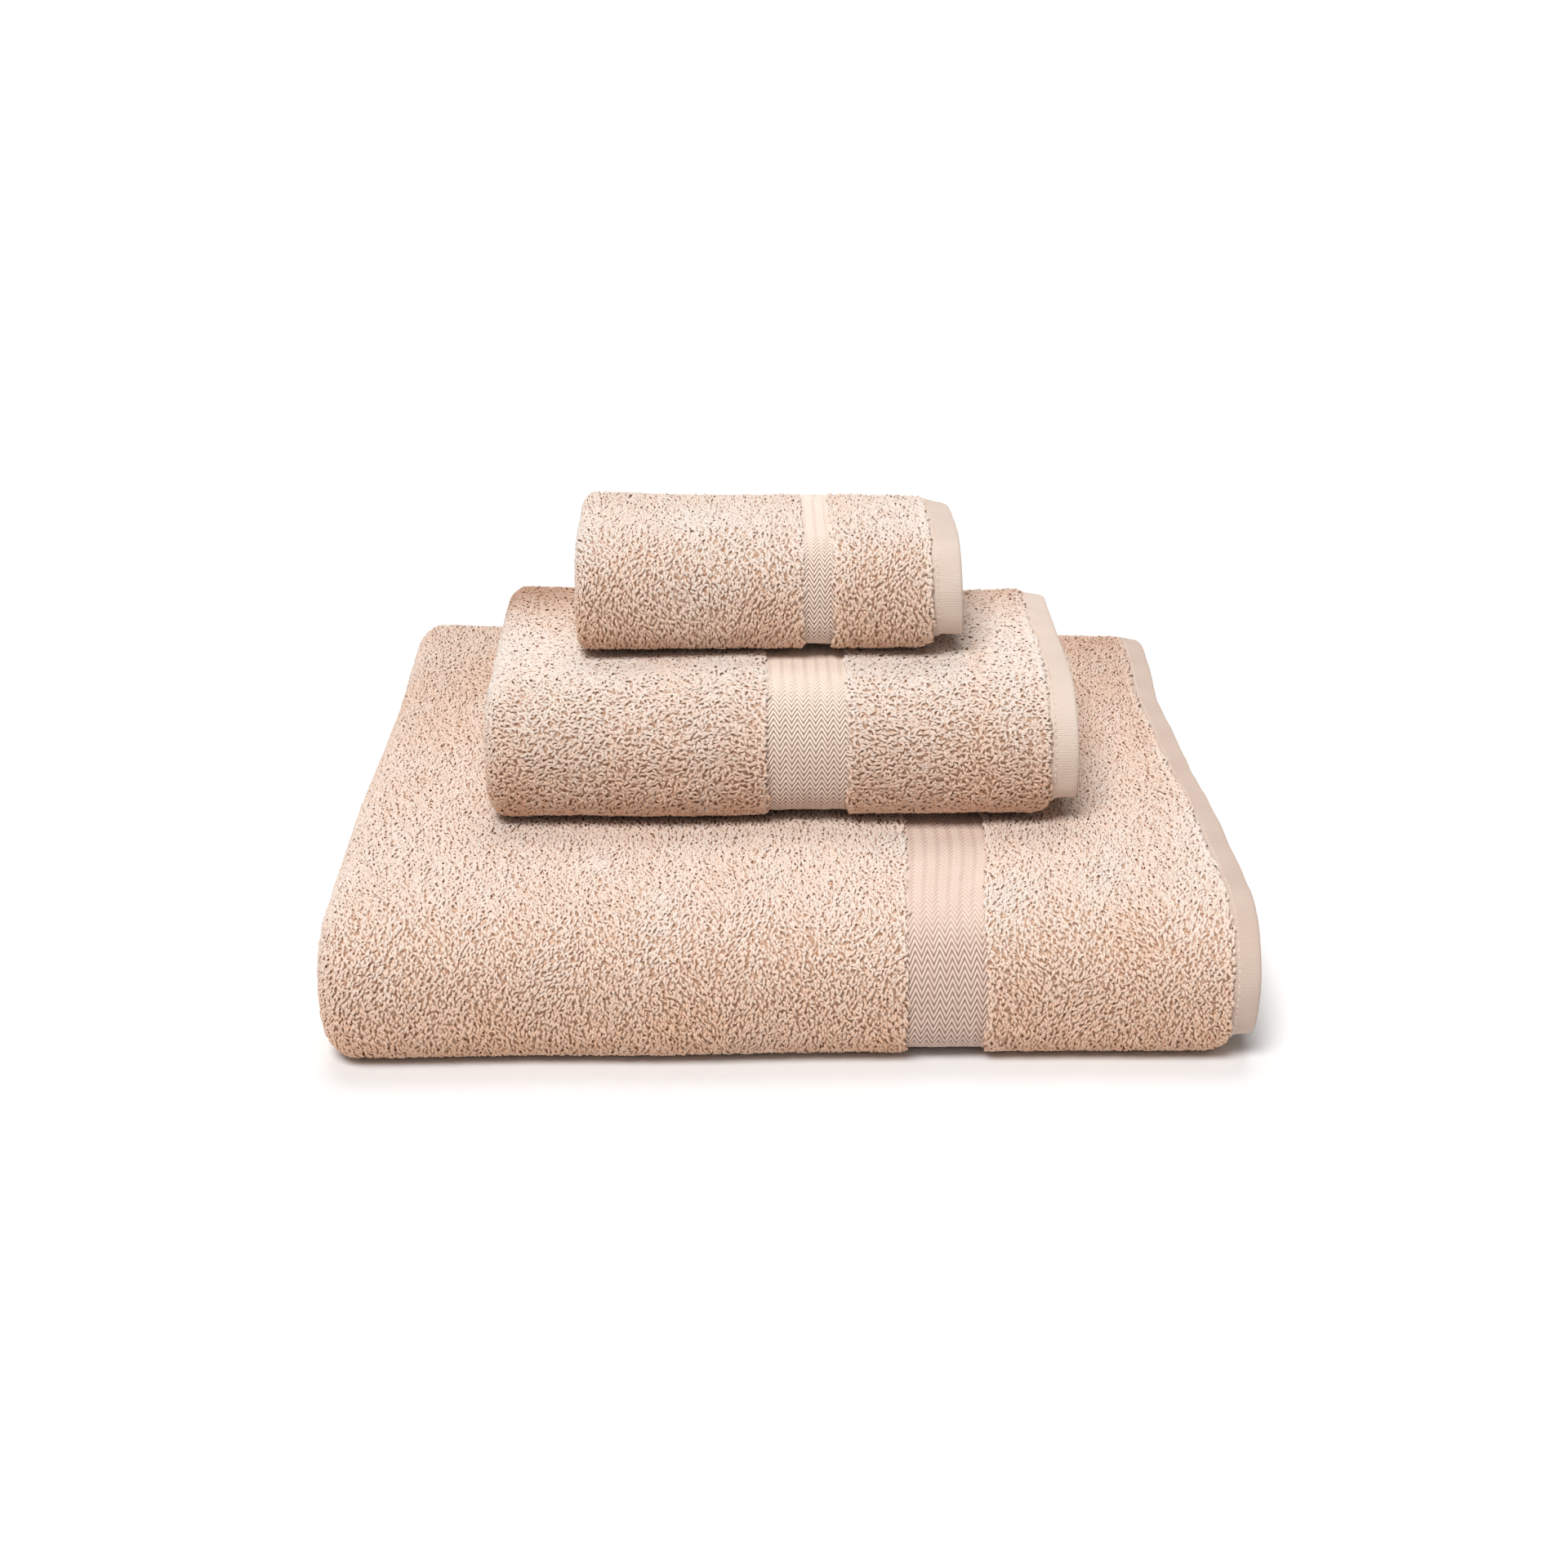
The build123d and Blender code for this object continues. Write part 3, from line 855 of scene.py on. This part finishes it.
def make_stitches(fold, material):
    """The sewn rows that hold the end hem and the side hems down."""
    towel = fold.towel
    rng = np.random.default_rng(towel.seed + 20)
    share = np.array([0.0, 0.25, 0.5, 0.75, 1.0]) - 0.5
    end_row = stitch_row(SIDE_HEM, fold.width - SIDE_HEM)
    side_row = stitch_row(fold.hem, fold.outer_end())
    inset = SIDE_HEM - 2 * MM
    side_t = fold.width - inset if towel.panels == 2 else inset
    s = np.concatenate([np.full(len(end_row), fold.thread), side_row])
    t = np.concatenate([end_row, np.full(len(side_row), side_t)])
    turn = np.concatenate([np.full(len(end_row), math.pi / 2), np.zeros(len(side_row))])
    count = len(s)
    turn = turn + rng.normal(0, 0.04, count)
    along = STITCH_LENGTH * share[None, :]
    line_s = s[:, None] + along * np.cos(turn)[:, None]
    line_t = t[:, None] + along * np.sin(turn)[:, None]
    rise = fold.skin + 0.12 * MM - 0.5 * MM * (2 * np.abs(share)) ** 3
    lines = np.stack([line_s, line_t, np.broadcast_to(rise, (count, 5))], axis=-1)
    radii = np.broadcast_to(STITCH_RADIUS * np.array([0.7, 1, 1, 1, 0.7]), (count, 5))
    builder = Builder()
    tone = rng.uniform(0, 1, count)
    add_yarns(builder, fold, lines, radii, STITCH_PROFILE, tone, np.ones(count), np.zeros(count))
    piece = builder.finish(towel.name + "_stitches", material, fold)
    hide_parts(towel.name + "_hem_thread")
    return piece


def new_material(name, roughness, sheen):
    """A cotton material: its shader node and its node tree."""
    material = bpy.data.materials.new(name)
    material.use_nodes = True
    tree = material.node_tree
    shader = tree.nodes["Principled BSDF"]
    shader.inputs["Roughness"].default_value = roughness
    shader.inputs["Sheen Weight"].default_value = sheen
    shader.inputs["Sheen Roughness"].default_value = 0.5
    shader.inputs["Specular IOR Level"].default_value = 0.15
    return material, tree, shader


def attribute(tree, name):
    """A value that the mesh holds at each point."""
    node = tree.nodes.new("ShaderNodeAttribute")
    node.attribute_name = name
    return node.outputs["Fac"]


def mix(tree, factor, a, b, blend="MIX"):
    """Mixes two colours; factor is a number or a node's output, a and b a colour or an output."""
    node = tree.nodes.new("ShaderNodeMix")
    node.data_type = "RGBA"
    node.blend_type = blend
    for socket, value in ((node.inputs[0], factor), (node.inputs[6], a), (node.inputs[7], b)):
        if isinstance(value, bpy.types.NodeSocket):
            tree.links.new(value, socket)
        elif socket.type == "RGBA":
            socket.default_value = (*value, 1)
        else:
            socket.default_value = value
    return node.outputs[2]


def ramp(tree, value, start, end):
    """0 where the value is below start, 1 above end."""
    node = tree.nodes.new("ShaderNodeMapRange")
    node.inputs["From Min"].default_value = start
    node.inputs["From Max"].default_value = end
    tree.links.new(value, node.inputs["Value"])
    return node.outputs["Result"]


def ribs(tree, count):
    """A wave from 0 to 1 for every whole number that count goes up by."""
    turn = tree.nodes.new("ShaderNodeMath")
    turn.operation = "MULTIPLY"
    turn.inputs[1].default_value = 2 * math.pi
    tree.links.new(count, turn.inputs[0])
    wave = tree.nodes.new("ShaderNodeMath")
    wave.operation = "SINE"
    tree.links.new(turn.outputs[0], wave.inputs[0])
    return ramp(tree, wave.outputs[0], -1.0, 1.0)


def noise(tree, scale, detail):
    """Uneven values around 0.5, fixed to the object."""
    coordinates = tree.nodes.new("ShaderNodeTexCoord")
    node = tree.nodes.new("ShaderNodeTexNoise")
    node.inputs["Scale"].default_value = scale
    node.inputs["Detail"].default_value = detail
    tree.links.new(coordinates.outputs["Object"], node.inputs["Vector"])
    return node.outputs["Fac"]


def bump(tree, shader, height, strength, distance):
    """Tilts the surface by a height that is too fine for the mesh."""
    node = tree.nodes.new("ShaderNodeBump")
    node.inputs["Strength"].default_value = strength
    node.inputs["Distance"].default_value = distance
    tree.links.new(height, node.inputs["Height"])
    tree.links.new(node.outputs["Normal"], shader.inputs["Normal"])


def pile_material():
    """Soft beige yarn with painted shade, warmer and darker, down in the pile and on the loops'
    flanks, pale crests, and loops of mixed tone.
    """
    material, tree, shader = new_material("terry_pile", 0.95, 0.08)
    height = attribute(tree, "height")
    tone = attribute(tree, "tone")
    side = mix(tree, tone, *LOOP_SIDE)
    tip = mix(tree, tone, *LOOP_TIP)
    blotch = mix(tree, noise(tree, 22, 2), (0.95, 0.94, 0.93), WHITE)
    # Painted shade at the loops' feet and flanks, from their height value.
    low = mix(tree, ramp(tree, height, 0.05, 0.4), LOOP_FOOT_SHADE, side)
    colour = mix(tree, ramp(tree, height, 0.32, 0.84), low, tip)
    fuzz = mix(tree, noise(tree, 900, 2), (0.94, 0.93, 0.92), WHITE)
    colour = mix(tree, 1.0, colour, blotch, "MULTIPLY")
    colour = mix(tree, 1.0, colour, fuzz, "MULTIPLY")
    tree.links.new(colour, shader.inputs["Base Color"])
    return material


def ground_material():
    """The woven ground and the matted yarn on it, under and between the loops, coloured dark and
    warm as painted shade.
    """
    material, tree, shader = new_material("terry_ground", 0.95, 0.1)
    colour = mix(tree, ramp(tree, noise(tree, 1000, 2), 0.36, 0.64), *GROUND_AND_SHADE)
    tree.links.new(colour, shader.inputs["Base Color"])
    return material


def band_material():
    """Smooth flat weave: pale ridges with painted shade in the grooves between them."""
    material, tree, shader = new_material("zigzag_band", 0.8, 0.2)
    ridge = mix(tree, attribute(tree, "tone"), *BAND_RIDGE)
    colour = mix(tree, attribute(tree, "height"), BAND_GROOVE_SHADE, ridge)
    tree.links.new(colour, shader.inputs["Base Color"])
    bump(tree, shader, noise(tree, 2600, 2), 0.35, 0.0003)
    return material


def hem_material():
    """Fine weave with small ribs across the hem, and painted shade between the ribs."""
    material, tree, shader = new_material("flat_hem", 0.85, 0.2)
    colour = mix(tree, attribute(tree, "tone"), *HEM)
    rib = ribs(tree, attribute(tree, "height"))
    # Painted shade: the weave is darkened between its ribs, besides the bump.
    shade = mix(tree, rib, (0.88, 0.86, 0.85), WHITE)
    grain = mix(tree, noise(tree, 1500, 2), (0.90, 0.89, 0.88), WHITE)
    colour = mix(tree, 1.0, mix(tree, 1.0, colour, shade, "MULTIPLY"), grain, "MULTIPLY")
    tree.links.new(colour, shader.inputs["Base Color"])
    bump(tree, shader, rib, 0.6, 0.00025)
    return material


def thread_material():
    """Twisted sewing thread, slightly glossier than the cotton round it."""
    material, tree, shader = new_material("sewing_thread", 0.6, 0.1)
    colour = mix(tree, attribute(tree, "tone"), *THREAD)
    tree.links.new(colour, shader.inputs["Base Color"])
    return material


def make_towel(towel, materials):
    """Makes every piece of one towel, each placed by the same fold of one sheet of cloth."""
    fold = Fold(towel)
    cloth = make_sheet(fold, materials["ground"])
    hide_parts(towel.name + "_terry")
    pieces = [
        make_pile(fold, materials["pile"]),
        make_band(fold, materials["band"]),
        make_end_hem(fold, materials["hem"], outer=True),
        make_end_hem(fold, materials["hem"], outer=False),
        make_side_hems(fold, materials["hem"]),
        make_stitches(fold, materials["thread"]),
    ]


def make_floor():
    """A plain pale floor, large enough to fill the view."""
    mesh = bpy.data.meshes.new("floor")
    signs = ((-1, -1), (1, -1), (1, 1), (-1, 1))
    points = [(FLOOR_REACH * x, FLOOR_REACH * y, 0) for x, y in signs]
    mesh.from_pydata(points, [], [(0, 1, 2, 3)])
    floor = bpy.data.objects.new("floor", mesh)
    bpy.context.scene.collection.objects.link(floor)
    material = bpy.data.materials.new("floor")
    material.use_nodes = True
    shader = material.node_tree.nodes["Principled BSDF"]
    shader.inputs["Base Color"].default_value = (*FLOOR_COLOUR, 1)
    shader.inputs["Roughness"].default_value = 0.9
    shader.inputs["Specular IOR Level"].default_value = 0.1
    mesh.materials.append(material)


def make_light():
    """A dim white room, a soft light in front at the left, and a weaker one behind."""
    world = bpy.data.worlds.new("studio")
    bpy.context.scene.world = world
    world.use_nodes = True
    background = world.node_tree.nodes["Background"]
    background.inputs["Color"].default_value = (1, 1, 1, 1)
    background.inputs["Strength"].default_value = ROOM_STRENGTH
    for name, energy, spread, tilt, side in SOFTBOXES:
        data = bpy.data.lights.new(name, "SUN")
        data.energy = energy
        data.angle = math.radians(spread)
        light = bpy.data.objects.new(name, data)
        light.rotation_euler = (math.radians(tilt), math.radians(side), 0)
        bpy.context.scene.collection.objects.link(light)


def make_camera():
    """In front, a little left of the middle, looking down at the towels."""
    data = bpy.data.cameras.new("camera")
    data.sensor_width = 36
    data.lens = LENS
    camera = bpy.data.objects.new("camera", data)
    camera.location = CAMERA_PLACE
    camera.rotation_euler = (math.radians(90 - LOOKS_DOWN), 0, math.radians(-TURNS_RIGHT))
    bpy.context.scene.collection.objects.link(camera)
    bpy.context.scene.camera = camera


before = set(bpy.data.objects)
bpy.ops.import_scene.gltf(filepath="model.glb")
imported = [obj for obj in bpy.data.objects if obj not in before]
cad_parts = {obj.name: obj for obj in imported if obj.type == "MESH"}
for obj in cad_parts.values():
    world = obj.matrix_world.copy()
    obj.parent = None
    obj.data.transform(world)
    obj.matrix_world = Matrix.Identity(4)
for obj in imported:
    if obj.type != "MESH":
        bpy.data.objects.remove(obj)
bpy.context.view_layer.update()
bpy.context.scene.view_settings.view_transform = "Standard"
materials = {
    "pile": pile_material(),
    "ground": ground_material(),
    "band": band_material(),
    "hem": hem_material(),
    "thread": thread_material(),
}
for towel in TOWELS:
    make_towel(towel, materials)
make_floor()
make_light()
make_camera()
